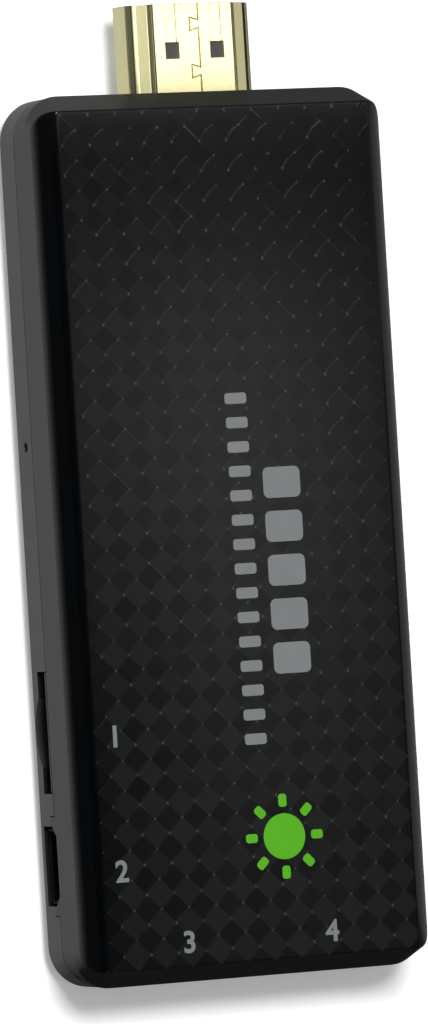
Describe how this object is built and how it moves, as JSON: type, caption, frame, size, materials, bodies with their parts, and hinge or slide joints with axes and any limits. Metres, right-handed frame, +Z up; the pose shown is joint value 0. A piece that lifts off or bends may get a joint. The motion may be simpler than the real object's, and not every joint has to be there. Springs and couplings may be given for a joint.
{
  "type": "television streaming stick",
  "caption": "Slim black two-shell television streaming stick with a gold plug at one end, data and power sockets, a card slot and a recessed reset switch.",
  "frame": {"origin": "under the middle of the overall box, on the underside that the stick rests on", "axes": "+X across the stick, away from the wall with the card slot; +Y along its length, out of the plug; +Z up, out of the patterned face"},
  "size_m": [0.0384, 0.0978, 0.0117],
  "materials": {
    "cover_gloss": "glossy black moulded top with a woven pattern in its skin",
    "cover_satin": "satin black moulded plastic",
    "board": "green solder mask on glass fibre laminate",
    "screw_steel": "plain steel",
    "plug_gold": "bright gold plating on folded sheet",
    "contact_gold": "gold plated spring strip",
    "socket_plastic": "black insulating plastic",
    "slider_plastic": "natural pale plastic",
    "socket_metal": "nickel plated sheet",
    "chip_resin": "moulded chip resin",
    "shield_can": "tinned sheet",
    "ferrite": "dark ferrite",
    "ceramic": "tan ceramic",
    "thermal_pad": "soft grey-blue pad",
    "heat_spreader": "plain aluminium sheet"
  },
  "bodies": {
    "stick": {"upper_cover": "cover_gloss", "lower_cover": "cover_satin", "main_board": "board", "board_screws": "screw_steel", "hdmi_plug_shell": "plug_gold", "hdmi_plug_insulator": "socket_plastic", "hdmi_plug_contacts": "contact_gold", "host_port_shell": "socket_metal", "host_port_insulator": "socket_plastic", "host_port_contacts": "contact_gold", "otg_port_shell": "socket_metal", "otg_port_insulator": "socket_plastic", "otg_port_contacts": "contact_gold", "dc_port_shell": "socket_metal", "dc_port_insulator": "socket_plastic", "dc_port_contacts": "contact_gold", "card_socket_base": "socket_plastic", "card_socket_contacts": "contact_gold", "card_socket_cover": "socket_metal", "card_slider_spring": "screw_steel", "reset_switch_base": "socket_plastic", "reset_switch_cover": "socket_metal", "reset_switch_dome": "socket_metal", "processor": "chip_resin", "memory_chips": "chip_resin", "flash_chip": "chip_resin", "power_chip": "chip_resin", "wifi_module": "shield_can", "crystals": "shield_can", "power_inductors": "ferrite", "capacitors": "ceramic", "antenna": "socket_metal", "thermal_pad": "thermal_pad", "heat_spreader": "heat_spreader"},
    "reset_button": {"reset_plunger": "slider_plastic"},
    "card_carriage": {"card_slider": "slider_plastic"},
    "latch_wire": {"card_cam_pin": "screw_steel"}
  },
  "joints": [
    {"name": "reset_press", "type": "slide", "parent": "stick", "child": "reset_button", "axis": [1, 0, 0], "range_m": [0, 0.00025], "stiffness_N_per_m": 2000, "deforming": ["reset_switch_dome"]},
    {"name": "card_push", "type": "slide", "parent": "stick", "child": "card_carriage", "axis": [1, 0, 0], "range_m": [0, 0.0015], "stiffness_N_per_m": 300, "deforming": ["card_slider_spring"]},
    {"name": "latch_swing", "type": "hinge", "parent": "stick", "child": "latch_wire", "pos_m": [-0.01508, -0.01686, 0.0037], "axis": [0, 0, 1], "range_deg": [0, 4.5]}
  ],
  "couplings": [
    {"joint": "latch_swing", "follows": "card_push", "rad_per_m": 46}
  ]
}
